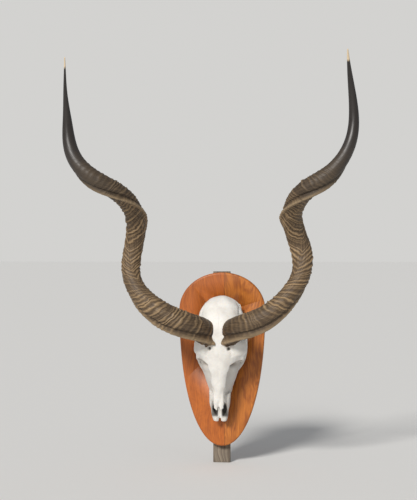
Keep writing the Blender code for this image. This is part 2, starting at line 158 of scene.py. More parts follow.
# Skull. Depths are measured forward from the plaque's face.
# Each row of the main form: height, half width in front, half width at the back,
# depth of its back and depth of its front.
SKULL_ROWS = (
    (0.201, 0.01, 0.01, 0.052, 0.072),
    (0.195, 0.026, 0.028, 0.036, 0.094),
    (0.18, 0.047, 0.051, 0.024, 0.116),
    (0.16, 0.06, 0.065, 0.022, 0.132),
    (0.129, 0.066, 0.072, 0.026, 0.145),
    (0.095, 0.068, 0.054, 0.032, 0.152),
    (0.068, 0.098, 0.042, 0.038, 0.15),
    (0.047, 0.11, 0.038, 0.038, 0.145),
    (0.027, 0.106, 0.04, 0.034, 0.141),
    (0.011, 0.072, 0.054, 0.024, 0.138),
    (-0.016, 0.052, 0.066, 0.016, 0.131),
    (-0.038, 0.04, 0.063, 0.014, 0.124),
    (-0.06, 0.031, 0.056, 0.014, 0.117),
    (-0.08, 0.025, 0.047, 0.014, 0.111),
    (-0.1, 0.02, 0.039, 0.015, 0.105),
    (-0.122, 0.017, 0.032, 0.016, 0.099),
    (-0.13, 0.008, 0.022, 0.022, 0.088),
)
SKULL_SIDES = 96
SKULL_STEPS = 8
SKULL_POWER = 2.3

# Bars on each side of the skull: path points (outward, depth, up) with half width and half depth
ARCH = (
    (0.048, 0.062, -0.03, 0.007, 0.012),
    (0.064, 0.062, -0.004, 0.008, 0.013),
    (0.075, 0.061, 0.026, 0.007, 0.012),
    (0.075, 0.058, 0.064, 0.006, 0.01),
    (0.069, 0.054, 0.106, 0.006, 0.009),
    (0.056, 0.05, 0.142, 0.009, 0.01),
)
MASTOID = (
    (0.045, 0.0003, 0.16, 0.007, 0.009),
    (0.045, 0.014, 0.16, 0.009, 0.012),
    (0.048, 0.038, 0.164, 0.012, 0.016),
)
PREMAXILLA = (
    (0.0262, 0.06, -0.095, 0.008, 0.022),
    (0.0256, 0.052, -0.126, 0.0072, 0.018),
    (0.025, 0.044, -0.148, 0.004, 0.013),
    (0.02, 0.038, -0.168, 0.0068, 0.009),
    (0.0128, 0.034, -0.184, 0.0098, 0.008),
    (0.0114, 0.032, -0.1925, 0.0082, 0.005),
)
MIDDLE_PROCESS = (
    (0.0048, 0.036, -0.105, 0.0044, 0.006),
    (0.005, 0.034, -0.15, 0.0042, 0.005),
    (0.005, 0.032, -0.182, 0.0048, 0.004),
)
PALATE = (
    (0.0, 0.034, -0.09, 0.032, 0.006),
    (0.0, 0.034, -0.125, 0.028, 0.004),
    (0.0, 0.033, -0.15, 0.024, 0.003),
    (0.0, 0.032, -0.174, 0.014, 0.003),
)
NASAL = (
    (0.008, 0.098, -0.07, 0.0084, 0.009),
    (0.0082, 0.0945, -0.11, 0.0084, 0.0065),
    (0.0082, 0.0915, -0.135, 0.0078, 0.005),
    (0.0058, 0.089, -0.151, 0.0028, 0.003),
)
NASAL_PRONG = (
    (0.0125, 0.0925, -0.125, 0.0056, 0.0045),
    (0.0138, 0.089, -0.146, 0.0026, 0.0028),
)
BAR_SIDES = 32
BAR_STEPS = 10
BALL_SEGMENTS = 48
BALL_RINGS = 32
TOOTH_COUNT = 6
TOOTH_ROW_TOP = 0.01
TOOTH_ROW_FOOT = -0.104
TOOTH_ROW_OUT = (0.047, 0.027)
TOOTH_HALF_WIDTH = (0.0105, 0.0065)
TOOTH_HEIGHT = 0.045
TOOTH_WAIST = 0.72
TOOTH_NOTCH = 0.004
TOOTH_POWER = 3.5
TOOTH_STEPS = 12
ORBIT_CENTRE = (0.066, 0.088, 0.036)
ORBIT_RADIUS = 0.028
ORBIT_RIM = 0.008
ORBIT_RIM_SIDES = 24
ORBIT_RIM_STEPS = 72
ORBIT_TURN = math.radians(6)
ORBIT_HOLLOW = (0.036, 0.022, 0.023)
ORBIT_HOLLOW_OUT = 0.016
CONDYLE_CENTRE = (0.019, 0.04, 0.178)
CONDYLE_RADIUS = 0.017
NOSE_HOLLOW = (0.0, 0.058, -0.128)
NOSE_HOLLOW_SIZE = (0.011, 0.024, 0.04)
BONE_VOXEL = 0.0019
BONE_SMOOTHING = 0.5
SMOOTHING_TIMES = 6

# Plaque: a half ellipse above its widest line, a longer and fuller one below it
PLAQUE_HALF_WIDTH = 0.1355
PLAQUE_WIDEST_Z = 0.154
PLAQUE_RISE = 0.117
PLAQUE_DROP = 0.429
PLAQUE_DROP_POWER = 2.12
PLAQUE_POINTS = 160
PLAQUE_BACK_EDGE = 0.001
PLAQUE_JOINT_X = 0.008
BATTEN_EDGE = 0.0015
BOARD_SHARP_ANGLE = 50

# Countersunk screws
SCREW_HEAD_RADIUS = 0.0044
SCREW_HEAD_CONE = 0.0026
SCREW_RADIUS = 0.0022
SCREW_POINT = 0.005
SCREW_PITCH = 0.002
SCREW_GAP = 0.0003
SCREW_SIDES = 24
SCREW_RINGS = 120
THREAD_START = 0.012
THREAD_DEPTH = 0.00035
SCREW_SHARP_ANGLE = 40
SLOT_SIZE = (0.0048, 0.0032, 0.001)
HOLE_SIDES = 32
HOLE_OPENING = 0.001
# Each screw's node and length
BATTEN_SCREWS = {"batten_screw_%d" % number: 0.038 for number in (1, 2, 3, 4)}
SKULL_SCREWS = {"skull_screw_%d" % number: 0.078 for number in (1, 2, 3, 4)}
SCREWS = {**BATTEN_SCREWS, **SKULL_SCREWS}

# Camera: where it looks on the plaque's face, how far off it stands and its turn to the right
CAMERA_TARGET = (-0.0425, PLAQUE_FRONT_Y, 0.3418)
CAMERA_DISTANCE = 3.5
CAMERA_TURN = math.radians(5.5)
CAMERA_LENS = 80
FLOOR_DROP = 0.0005
SUN_DIRECTION = (0.3, 0.8, -0.55)
SUN_BREADTH = math.radians(14)
SUN_COLOUR = (1.0, 0.98, 0.95)
AMBIENT_COLOUR = (0.93, 0.96, 1.0)
AMBIENT_STRENGTH = 0.32
FLOOR_SIZE = 60.0


def srgb(red, green, blue):
    """A colour given in display values from 0 to 255, as the linear values of a shader."""
    values = np.array((red, green, blue)) / 255
    linear = np.where(values <= 0.04045, values / 12.92, ((values + 0.055) / 1.055) ** 2.4)
    return tuple(float(value) for value in linear)


def colour_property(name, description, default):
    return bpy.props.FloatVectorProperty(
        name=name, description=description, default=default, size=3,
        min=0.0, max=1.0, subtype="COLOR")


def length_property(name, description, default):
    return bpy.props.FloatProperty(
        name=name, description=description, default=default, min=0.0,
        subtype="DISTANCE", unit="LENGTH", precision=4)


class HornSettings(bpy.types.PropertyGroup):
    ring_height: length_property("Ring Height", "Height of the growth rings near the base", 0.003)
    keel_rise: bpy.props.FloatProperty(
        name="Keel Rise", description="Height of the keel as a share of the horn's radius",
        default=0.28, min=0.0, max=0.6)
    base_colour: colour_property("Base Colour", "Horn next to the skull", srgb(84, 60, 34))
    middle_colour: colour_property("Middle Colour", "Ringed part of the horn", srgb(120, 100, 75))
    # The keel's pale colour is partly its own paler horn and partly painted highlight along its
    # edge
    keel_colour: colour_property("Keel Colour", "Pale edge of the keel", srgb(184, 158, 122))
    end_colour: colour_property("End Colour", "Smooth dark end of the horn", srgb(50, 44, 40))
    tip_colour: colour_property("Tip Colour", "Ivory-coloured tip", srgb(232, 208, 172))


class BoneSettings(bpy.types.PropertyGroup):
    bone_colour: colour_property("Bone Colour", "Bleached bone", srgb(234, 231, 225))
    # The shade colour, darker, is also painted shade on the snout's side faces; the stain colour,
    # much darker, is the painted shade in the foramina, the nose cavity and the recess beside each
    # eye
    shade_colour: colour_property("Shade Colour", "Greyer patches of bone", srgb(208, 202, 194))
    stain_colour: colour_property("Stain Colour", "Brown stain by the horns", srgb(150, 120, 84))
    tooth_colour: colour_property("Tooth Colour", "Cheek teeth", srgb(214, 200, 168))


class WoodSettings(bpy.types.PropertyGroup):
    plaque_light: colour_property("Plaque Light", "Light wood of the plaque", srgb(204, 122, 42))
    plaque_dark: colour_property("Plaque Dark", "Dark grain of the plaque", srgb(128, 60, 14))
    batten_light: colour_property("Batten Light", "Light wood of the batten", srgb(142, 130, 114))
    batten_dark: colour_property("Batten Dark", "Dark grain of the batten", srgb(74, 62, 52))
    edge_radius: length_property("Edge Radius", "Rounding of the plaque's front edge", 0.006)


class StageSettings(bpy.types.PropertyGroup):
    floor_colour: colour_property("Floor Colour", "Plain pale floor", (0.8, 0.79, 0.77))
    backdrop: colour_property("Backdrop", "Plain pale backdrop", (0.65, 0.645, 0.63))
    key_strength: bpy.props.FloatProperty(
        name="Key Strength", description="Strength of the light from the upper left",
        default=2.9, min=0.0)


def linked(name, data):
    made = bpy.data.objects.new(name, data)
    bpy.context.scene.collection.objects.link(made)
    return made


def new_object(name, bm, auto_smooth=None):
    """Turn a bmesh into an object of the scene, shaded smooth."""
    mesh = bpy.data.meshes.new(name)
    bm.to_mesh(mesh)
    bm.free()
    mesh.shade_smooth()
    if auto_smooth:
        mesh.set_sharp_from_angle(angle=math.radians(auto_smooth))
    return linked(name, mesh)


def modify(made, kind, **settings):
    """Give an object the mesh that one modifier makes of it."""
    modifier = made.modifiers.new(kind, kind)
    for name, value in settings.items():
        setattr(modifier, name, value)
    graph = bpy.context.evaluated_depsgraph_get()
    mesh = bpy.data.meshes.new_from_object(made.evaluated_get(graph), depsgraph=graph)
    old = made.data
    made.modifiers.clear()
    made.data = mesh
    bpy.data.meshes.remove(old)
    mesh.name = made.name


def cut(made, cutters):
    """Take the cutters' shapes away from an object and delete them."""
    for cutter in cutters:
        modify(made, "BOOLEAN", operation="DIFFERENCE", object=cutter, solver="EXACT")
        bpy.data.objects.remove(cutter, do_unlink=True)


def dress(made, finish, slot, *nodes):
    """Give a finished piece its material, hang it from the root and hide the CAD parts it stands
    for.
    """
    made.data.materials.clear()
    made.data.materials.append(finish)
    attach(made, "root")
    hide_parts(*nodes)


def skin(rings, layers=None):
    """A closed skin through rings of points, capped at both ends.

    layers maps an attribute's name to its value at each point of the rings.
    """
    rings = np.asarray(rings)
    rows, sides = rings.shape[:2]
    bm = bmesh.new()
    bmesh.ops.create_grid(bm, x_segments=sides, y_segments=rows - 1, size=1.0)
    kept = []
    for name, values in (layers or {}).items():
        kind = bm.verts.layers.float if values.ndim == 2 else bm.verts.layers.float_vector
        kept.append((kind.new(name), values))
    for index, vert in enumerate(bm.verts):
        row, side = divmod(index, sides + 1)
        side %= sides
        vert.co = rings[row, side]
        for layer, values in kept:
            vert[layer] = values[row, side]
    bmesh.ops.remove_doubles(bm, verts=bm.verts, dist=MERGE_DISTANCE)
    bmesh.ops.holes_fill(bm, edges=[edge for edge in bm.edges if edge.is_boundary], sides=0)
    bmesh.ops.recalc_face_normals(bm, faces=bm.faces)
    return bm


def smooth_through(rows, places):
    """Values read from a natural cubic curve through evenly numbered rows."""
    rows = np.asarray(rows, float)
    count = len(rows)
    matrix = np.eye(count)
    rises = np.zeros_like(rows)
    for index in range(1, count - 1):
        matrix[index, index - 1:index + 2] = (1, 4, 1)
        rises[index] = 6 * (rows[index + 1] - 2 * rows[index] + rows[index - 1])
    bends = np.linalg.solve(matrix, rises)
    places = np.clip(places, 0, count - 1)
    start = np.minimum(places.astype(int), count - 2)
    after = (places - start)[..., None]
    before = 1 - after
    straight = before * rows[start] + after * rows[start + 1]
    bent = (before**3 - before) * bends[start] + (after**3 - after) * bends[start + 1]
    return straight + bent / 6


def unit(vectors):
    return vectors / np.linalg.norm(vectors, axis=-1, keepdims=True)


def hump(distance, width):
    """1 at distance 0 and falling smoothly to 0 on both sides."""
    return np.exp(-((distance / width) ** 2))


def fading(share, end, length):
    """1 until length before end, then falling evenly to 0 at end."""
    return np.clip((end - share) / length, 0, 1)


def even_angles(count):
    return np.linspace(0, 2 * math.pi, count, endpoint=False)


def ring(x, y, z):
    """Points with these coordinates, each an array or one number for all."""
    return np.stack(np.broadcast_arrays(x, y, z), -1)


def ripples(random, points, wavelength, count=14):
    """Smooth random waves through space, mostly between -1 and 1."""
    directions = unit(random.normal(size=(count, 3))) * random.uniform(0.7, 1.3, (count, 1))
    phases = random.uniform(0, 2 * math.pi, count)
    waves = np.sin(points @ directions.T * (2 * math.pi / wavelength) + phases)
    return waves.sum(axis=-1) / math.sqrt(count)


class Horn:
    """One horn's spiral centre line, read by the share of its length from base to tip."""

    def __init__(self, side, stations, axis):
        foot, lean_out, lean_forward = axis
        self.side = side
        self.stations = stations
        self.foot = np.array(foot)
        lean = (math.tan(math.radians(lean_out)), math.tan(math.radians(lean_forward)), 1)
        self.axis = unit(np.array(lean))
        outward = np.array((1.0, 0.0, 0.0))
        self.inward = unit(outward @ self.axis * self.axis - outward)
        self.forward = np.cross(self.inward, self.axis)
        self.places = np.linspace(0, len(stations) - 1, SPIRAL_SAMPLES)
        points = self.spiral(self.places)[0]
        steps = np.linalg.norm(np.diff(points, axis=0), axis=1)
        self.lengths = np.concatenate(([0.0], np.cumsum(steps)))
        self.length = self.lengths[-1]

    def spiral(self, places):
        values = smooth_through(self.stations, places)
        turn = np.radians(values[..., 0:1])
        radial = np.cos(turn) * self.inward + np.sin(turn) * self.forward
        points = self.foot + values[..., 1:2] * self.axis + values[..., 2:3] * radial
        return points, radial, values[..., 3]

    def section(self, share):
        """Centre, the two section axes and the radius at each share of the length."""
        places = np.interp(share * self.length, self.lengths, self.places)
        centre, radial, radius = self.spiral(places)
        ahead = self.spiral(places + SPIRAL_STEP)[0]
        tangent = unit(ahead - self.spiral(places - SPIRAL_STEP)[0])
        radial = unit(radial - np.sum(radial * tangent, axis=-1, keepdims=True) * tangent)
        return centre, radial, np.cross(radial, tangent), radius


def growth_rings(random, along, length):
    """Crests from 0 to 1 of the growth rings at each distance along a horn."""
    places = [RING_START]
    while places[-1] < length:
        step = RING_SPACING * (1 - RING_CROWDING * places[-1] / length)
        places.append(places[-1] + step * (1 + RING_UNEVEN * np.clip(random.normal(), -1.7, 1.9)))
    count = np.arange(len(places))
    heights = np.clip(RING_SHARE + RING_UNEVEN * random.normal(size=len(places)), 0.12, 1.25)
    turn = np.interp(along, places, count)
    crest = (0.5 + 0.5 * np.cos(2 * math.pi * turn)) ** 1.5
    return crest * np.interp(turn, count, heights)


def horn_surface(horn, seed, settings):
    """Rings of points over the whole horn, and what its material needs to know there."""
    random = np.random.default_rng(seed)
    rows = np.linspace(0, 1, HORN_ROWS)
    share, turn = np.meshgrid(rows, even_angles(HORN_COLUMNS), indexing="ij")
    centre, radial, baseward, radius = horn.section(share)
    along = share * horn.length
    straight = ring(radius * np.cos(turn), radius * np.sin(turn), along)

    keel_angle = KEEL_ANGLE + BASE_TWIST * fading(share, TWIST_END, TWIST_END)
    from_keel = (turn - keel_angle + math.pi) % (2 * math.pi) - math.pi
    keel_fade = fading(share, KEEL_END, KEEL_FADE)
    keel = hump(from_keel, KEEL_WIDTH) * keel_fade
    groove = hump(from_keel - GROOVE_TURN, GROOVE_WIDTH) * keel_fade
    groove = groove * np.clip(share / GROOVE_START, 0, 1)

    # The rings climb towards the keel and wander a little
    climb = 1 - 2 * np.sqrt((from_keel / math.pi) ** 2 + 0.012)
    sweep = np.interp(share, *zip(*RING_SWEEP)) * radius * climb
    wander = 0.0040 * ripples(random, straight, 0.07) + 0.0016 * ripples(random, straight, 0.02)
    ringed = along - sweep + wander
    fade = fading(share, RING_END, RING_FADE) ** 0.8
    fade = fade * (1 - 0.45 * keel) * (0.85 + 0.25 * ripples(random, straight, 0.09))
    crest = growth_rings(random, ringed, horn.length) * fade
    wave = ringed * 2 * math.pi / FINE_RING_SPACING
    fine = np.sin(wave + 2 * ripples(random, straight, 0.04)) * fade
    fibre = ripples(random, straight * np.array((1.0, 1.0, 0.1)), FIBRE_WIDTH, 24)
    fibre = fibre * np.maximum(fading(share, KEEL_END, FIBRE_FADE), 0.05)

    reach = radius * (1 + settings.keel_rise * keel - GROOVE_DEPTH * groove) - HORN_INSET
    reach = reach + settings.ring_height * (crest - RING_GAP * fade)
    reach = reach + FINE_RING_HEIGHT * fine + FIBRE_HEIGHT * fibre
    spoke = np.cos(turn)[..., None] * radial + np.sin(turn)[..., None] * baseward
    points = centre + reach[..., None] * spoke
    lobe = hump(from_keel - LOBE_TURN, LOBE_WIDTH) * fading(share, LOBE_LENGTH, LOBE_LENGTH) ** 1.5
    lobe = lobe * (1 + 0.25 * ripples(random, straight, 0.012))
    tangent = np.cross(baseward, radial)
    points = points + lobe[..., None] * (spoke * LOBE_RISE + tangent * LOBE_SHIFT)
    # The material paints light on the ring crests ("ridge"), shade in their gaps and in the
    # groove, and a highlight along the keel
    layers = {
        "straight": straight,
        "along": share,
        "ridge": crest,
        "keel": hump(from_keel, KEEL_LINE_WIDTH) * keel_fade,
        "groove": groove,
    }
    return points * np.array((horn.side, -1.0, 1.0)), layers


def make_horn(name, horn, seed, settings):
    points, layers = horn_surface(horn, seed, settings)
    return new_object(name, skin(points, layers))


def grown_place():
    """Where the skull hangs and how it tilts."""
    place = Matrix.Translation((SKULL_OFFSET, 0, SKULL_PIVOT_Z))
    return place @ Matrix.Rotation(SKULL_TILT, 4, "Y") @ Matrix.Translation((0, 0, -SKULL_PIVOT_Z))


def oval(angles, power):
    """Points of a full oval, rounder at power 2 and squarer above it."""
    across = np.sign(np.cos(angles)) * np.abs(np.cos(angles)) ** (2 / power)
    along = np.sign(np.sin(angles)) * np.abs(np.sin(angles)) ** (2 / power)
    return across, along


def refined(rows, steps):
    """Rows of a table with smooth rows added between them."""
    places = np.linspace(0, len(rows) - 1, (len(rows) - 1) * steps + 1)
    return smooth_through(rows, places)


def skull_form():
    across, along = oval(even_angles(SKULL_SIDES), SKULL_POWER)
    rings = []
    for height, front_half, back_half, back, front in refined(SKULL_ROWS, SKULL_STEPS):
        half = back_half + (front_half - back_half) * (along + 1) / 2
        depth = back + (front - back) * (along + 1) / 2
        rings.append(ring(across * half, PLAQUE_FRONT_Y - depth, height))
    return skin(rings)


def bone_bar(rows, side):
    """A tapering bar through path points given outward, in depth and up."""
    rows = refined(rows, BAR_STEPS)
    path = rows[:, :3] * np.array((side, -1.0, 1.0)) + np.array((0.0, PLAQUE_FRONT_Y, 0.0))
    tangents = unit(np.gradient(path, axis=0))
    deep = unit(np.cross(tangents, (1.0, 0.0, 0.0)))
    wide = np.cross(deep, tangents)
    angles = even_angles(BAR_SIDES)[None, :, None]
    spokes = np.cos(angles) * (wide * rows[:, 3:4])[:, None]
    spokes = spokes + np.sin(angles) * (deep * rows[:, 4:5])[:, None]
    return skin(path[:, None] + spokes)


def between(ends, share):
    return ends[0] + (ends[1] - ends[0]) * share


def tooth_row(side):
    """One row of cheek teeth with a waist between each two."""
    across, along = oval(even_angles(BAR_SIDES), TOOTH_POWER)
    rings = []
    for share in np.linspace(0, 1, TOOTH_COUNT * TOOTH_STEPS + 1):
        swell = abs(math.sin(math.pi * TOOTH_COUNT * share)) ** 0.5
        waist = between((TOOTH_WAIST, 1), swell)
        half = between(TOOTH_HALF_WIDTH, share) * waist
        notch = 2 * (1 - waist) * TOOTH_NOTCH
        middle = (TOOTH_HEIGHT + SCREW_GAP + notch) / 2
        depth = middle + along * (TOOTH_HEIGHT - SCREW_GAP - notch) / 2
        rings.append(ring(side * (between(TOOTH_ROW_OUT, share) + across * half),
                          PLAQUE_FRONT_Y - depth,
                          between((TOOTH_ROW_TOP, TOOTH_ROW_FOOT), share)))
    return skin(rings)


def skull_place(place, side):
    out, depth, height = place
    return Vector((side * out, PLAQUE_FRONT_Y - depth, height))


def orbit_place(side):
    place = Matrix.Translation(skull_place(ORBIT_CENTRE, side))
    return place @ Matrix.Rotation(side * ORBIT_TURN, 4, "Z")


def orbit_rim(side):
    """The raised bony rim round an eye socket."""
    bm = bmesh.new()
    made = bmesh.ops.create_circle(bm, segments=ORBIT_RIM_SIDES, radius=ORBIT_RIM)
    bmesh.ops.translate(bm, verts=made["verts"], vec=(0, ORBIT_RADIUS, 0))
    bmesh.ops.spin(bm, geom=bm.verts[:] + bm.edges[:], cent=(0, 0, 0), axis=(1, 0, 0),
                   angle=2 * math.pi, steps=ORBIT_RIM_STEPS, use_merge=True)
    bmesh.ops.transform(bm, verts=bm.verts, matrix=orbit_place(side))
    bmesh.ops.recalc_face_normals(bm, faces=bm.faces)
    return bm


def ball(centre, radii):
    bm = bmesh.new()
    bmesh.ops.create_uvsphere(bm, u_segments=BALL_SEGMENTS, v_segments=BALL_RINGS, radius=1.0)
    shape = Matrix.LocRotScale(centre, None, Vector(radii))
    bmesh.ops.transform(bm, verts=bm.verts, matrix=shape)
    return bm


def joined(parts):
    """One bmesh that holds the shapes of several."""
    whole = bmesh.new()
    for part in parts:
        mesh = bpy.data.meshes.new("part")
        part.to_mesh(mesh)
        part.free()
        whole.from_mesh(mesh)
        bpy.data.meshes.remove(mesh)
    return whole


def skull_parts():
    parts = [skull_form(), bone_bar(PALATE, 1)]
    for side in (-1, 1):
        parts.append(orbit_rim(side))
        parts.append(tooth_row(side))
        parts.append(ball(skull_place(CONDYLE_CENTRE, side), [CONDYLE_RADIUS] * 3))
        for rows in (ARCH, MASTOID, PREMAXILLA, MIDDLE_PROCESS, NASAL, NASAL_PRONG):
            parts.append(bone_bar(rows, side))
    return parts


def skull_hollows():
    """The eye sockets and the nasal cavity, as cutters."""
    centre = (ORBIT_CENTRE[0] + ORBIT_HOLLOW_OUT, *ORBIT_CENTRE[1:])
    shapes = [ball(skull_place(centre, side), ORBIT_HOLLOW) for side in (-1, 1)]
    shapes.append(ball(skull_place(NOSE_HOLLOW, 1), NOSE_HOLLOW_SIZE))
    return [new_object("hollow", shape) for shape in shapes]


def remesh(made):
    """Fuse the shapes of a mesh into one even skin."""
    modify(made, "REMESH", mode="VOXEL", voxel_size=BONE_VOXEL, use_smooth_shade=True)


def inside(value, edge, soft):
    """1 where value is well below edge, 0 well above it, and smooth between."""
    return 1 / (1 + np.exp(np.clip((value - edge) / soft, -40, 40)))


def band(value, low, high, soft_low, soft_high):
    """1 between low and high and 0 outside, with a soft border at each."""
    return inside(-value, -low, soft_low) * inside(value, high, soft_high)


# Where the skull is carved, in its own frame. A groove is the points (outward, up) of its line,
# then its depth and width. The shield's edge is (up, outward) along the face's border.
BROW = (((0.0325, 0.07), (0.0315, 0.06), (0.0335, 0.046), (0.04, 0.022)), 0.0022, 0.005)
CHEEK = (((0.05, -0.018), (0.044, -0.04), (0.037, -0.07), (0.031, -0.095)),
         0.003, 0.009)
TEMPLE = (((0.049, 0.184), (0.056, 0.172), (0.0575, 0.158), (0.062, 0.142)), 0.0034, 0.003)
SHIELD_EDGE = ((-0.135, 0.0175), (-0.11, 0.019), (-0.06, 0.0235), (-0.03, 0.027),
               (-0.008, 0.036), (0.006, 0.056), (0.012, 0.09))
SHIELD_HEIGHT = 0.0078
SHIELD_SLOPE = 0.017
SHIELD_ENDS = (-0.112, 0.01)
FORAMEN = (0.03, 0.0425)
FORAMEN_RADIUS = 0.005
FORAMEN_DEPTH = 0.0085
RECESS = (0.043, -0.007)
RECESS_RADIUS = 0.008
RECESS_DEPTH = 0.012
MIDLINE_DEPTH = 0.0009
MIDLINE_WIDTH = 0.0008
MIDLINE_TOP = 0.175
SEAM_DEPTH = 0.0007
SEAM_WIDTH = 0.0009
SEAM_REACH = 0.034
SMEAR = (0.031, 0.052)
SMEAR_RADIUS = 0.011
# Where the inside of the nose is painted dark as the shade within it
NOSE_DARK_DEPTH = 0.052
NOSE_DARK_OUT = (0.0058, 0.026)
NOSE_DARK_UP = (-0.175, -0.136)
TOOTH_DARK_DEPTH = 0.026
TOOTH_DARK_OUT = 0.016
TOOTH_DARK_UP = (-0.107, 0.013)
BONE_INSET = 0.0005


def groove_depth(out, up, wander, line, depth, width):
    """How deep a groove is at each point of the face."""
    nearest = np.full(out.shape, 1.0)
    for (x1, z1), (x2, z2) in zip(line, line[1:]):
        along = np.array((x2 - x1, z2 - z1))
        span = along @ along
        share = np.clip(((out - x1) * along[0] + (up - z1) * along[1]) / span, 0, 1)
        apart = np.hypot(out + wander - x1 - share * along[0], up - z1 - share * along[1])
        nearest = np.minimum(nearest, apart)
    return depth * hump(nearest, width)


def vectors_of(items, name):
    values = np.empty(len(items) * 3)
    items.foreach_get(name, values)
    return values.reshape(-1, 3)


def carve_skull(made):
    """Press the foramina, grooves, edges and seams of the face into the bone."""
    mesh = made.data
    points = vectors_of(mesh.vertices, "co")
    normals = vectors_of(mesh.vertex_normals, "vector")
    random = np.random.default_rng(11)
    out = np.abs(points[:, 0])
    up = points[:, 2]
    face = np.clip(-normals[:, 1] * 2.2 - 0.3, 0, 1)
    wander = 0.0016 * ripples(random, points, 0.022) + 0.0006 * ripples(random, points, 0.006)
    pit = np.hypot((out - FORAMEN[0]) * 1.15, up - FORAMEN[1])
    push = -FORAMEN_DEPTH * inside(pit, FORAMEN_RADIUS, 0.0007) * face
    for line in (BROW, CHEEK):
        push -= groove_depth(out, up, wander, *line) * face
    push -= groove_depth(out, up, wander, *TEMPLE) * (normals[:, 1] < 0)

    # The cheek falls away behind the raised edge of the face, deepest under the eye
    below = np.interp(up, *zip(*SHIELD_EDGE)) - out - wander
    shelf = hump(np.minimum(below + 0.0022, 0), SHIELD_SLOPE) * inside(below, -0.0004, 0.0006)
    shelf *= band(up, *SHIELD_ENDS, 0.006, 0.001)
    push -= SHIELD_HEIGHT * shelf * face
    recess = hump(np.hypot((out - RECESS[0]) * 0.6, up - RECESS[1]), RECESS_RADIUS)
    push -= RECESS_DEPTH * recess * inside(below, -0.0008, 0.0007) * face

    # The seams between the bones, then uneven bone and pores
    midline = hump(out + wander * 0.4, MIDLINE_WIDTH) * inside(up, MIDLINE_TOP, 0.01)
    push -= MIDLINE_DEPTH * midline * face
    seam = hump(up - (0.064 + 0.35 * (out - 0.02) + 1.4 * wander), SEAM_WIDTH)
    push -= SEAM_DEPTH * seam * face * inside(out, SEAM_REACH, 0.002)
    push += 0.0006 * ripples(random, points, 0.045) + 0.0001 * ripples(random, points, 0.011)
    push -= 0.0002 * np.clip(ripples(random, points, 0.0052, 20) - 0.8, 0, 2)
    points = points + normals * (push - BONE_INSET)[:, None]
    points[:, 1] = np.minimum(points[:, 1], PLAQUE_FRONT_Y - SCREW_GAP)
    narrowing = LEFT_NARROWING * hump(points[:, 2] - NARROWING_Z, NARROWING_SPREAD)
    points[:, 0] *= 1 - narrowing * (points[:, 0] < 0)
    mesh.vertices.foreach_set("co", points.ravel())

    # Masks for the material: painted shade in the nose cavity, the foramina and the recesses,
    # painted shade over greyer bone on the side faces, the teeth and a brown stain
    depth = PLAQUE_FRONT_Y - points[:, 1]
    cavity = inside(depth, NOSE_DARK_DEPTH, 0.004)
    cavity *= band(out, *NOSE_DARK_OUT, 0.0006, 0.001) * band(up, *NOSE_DARK_UP, 0.0015, 0.002)
    tooth = inside(depth, TOOTH_DARK_DEPTH, 0.001) * inside(-out, -TOOTH_DARK_OUT, 0.001)
    tooth *= band(up, *TOOTH_DARK_UP, 0.001, 0.001)
    smear = hump(np.hypot(out - SMEAR[0], (up - SMEAR[1]) * 1.2), SMEAR_RADIUS) * face
    values = {
        "pit": inside(pit, FORAMEN_RADIUS * 0.9, 0.0008),
        "recess": recess * (below < 0),
        "cavity": cavity,
        "smear": smear,
        "tooth": tooth,
        "cheek": inside(below, -0.001, 0.0016) * inside(up, 0.006, 0.002),
    }
    for name, numbers in values.items():
        layer = mesh.attributes.new(name, "FLOAT", "POINT")
        layer.data.foreach_set("value", numbers.astype(np.float32))
    layer = mesh.attributes.new("face_place", "FLOAT_VECTOR", "POINT")
    layer.data.foreach_set("vector", points.astype(np.float32).ravel())
    mesh.update()


def make_skull():
    """The skull: its parts fused into one bone, hollowed, smoothed and carved."""
    skull = new_object("kudu_skull", joined(skull_parts()))
    remesh(skull)
    cut(skull, skull_hollows())
    remesh(skull)
    modify(skull, "SMOOTH", factor=BONE_SMOOTHING, iterations=SMOOTHING_TIMES)
    carve_skull(skull)
    skull.data.transform(grown_place())
    return skull


def plaque_outline(angle):
    """One point of the egg-shaped outline."""
    if math.sin(angle) >= 0:
        return PLAQUE_HALF_WIDTH * math.cos(angle), PLAQUE_WIDEST_Z + PLAQUE_RISE * math.sin(angle)
    power = 2 / PLAQUE_DROP_POWER
    across = math.copysign(abs(math.cos(angle)) ** power, math.cos(angle))
    down = abs(math.sin(angle)) ** power
    return PLAQUE_HALF_WIDTH * across, PLAQUE_WIDEST_Z - PLAQUE_DROP * down


def bevel(bm, edges, width, segments):
    bmesh.ops.bevel(bm, geom=edges, offset=width, segments=segments, profile=0.5,
                    affect="EDGES", material=-1)


def edges_at(bm, y):
    return [edge for edge in bm.edges if all(abs(v.co.y - y) < 1e-6 for v in edge.verts)]


def screw_profile(length, clearance=0.0):
    """Radius and depth of a countersunk screw from its head to its point."""
    head = SCREW_HEAD_RADIUS + clearance
    shank = SCREW_RADIUS + clearance
    rows = [(head, SCREW_GAP + clearance), (shank, SCREW_GAP + SCREW_HEAD_CONE + clearance),
            (shank, length - SCREW_POINT + clearance), (clearance, length + clearance)]
    if clearance:
        rows.insert(0, (head, -HOLE_OPENING))
    return rows


def screw_hole(node, length):
    """The cutter of the hole that a screw of the CAD fills."""
    low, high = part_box(node)
    angles = even_angles(HOLE_SIDES)
    rings = [ring((low.x + high.x) / 2 + radius * np.cos(angles), high.y + SCREW_GAP - depth,
                  (low.z + high.z) / 2 + radius * np.sin(angles))
             for radius, depth in screw_profile(length, SCREW_GAP)]
    return new_object("hole", skin(rings))


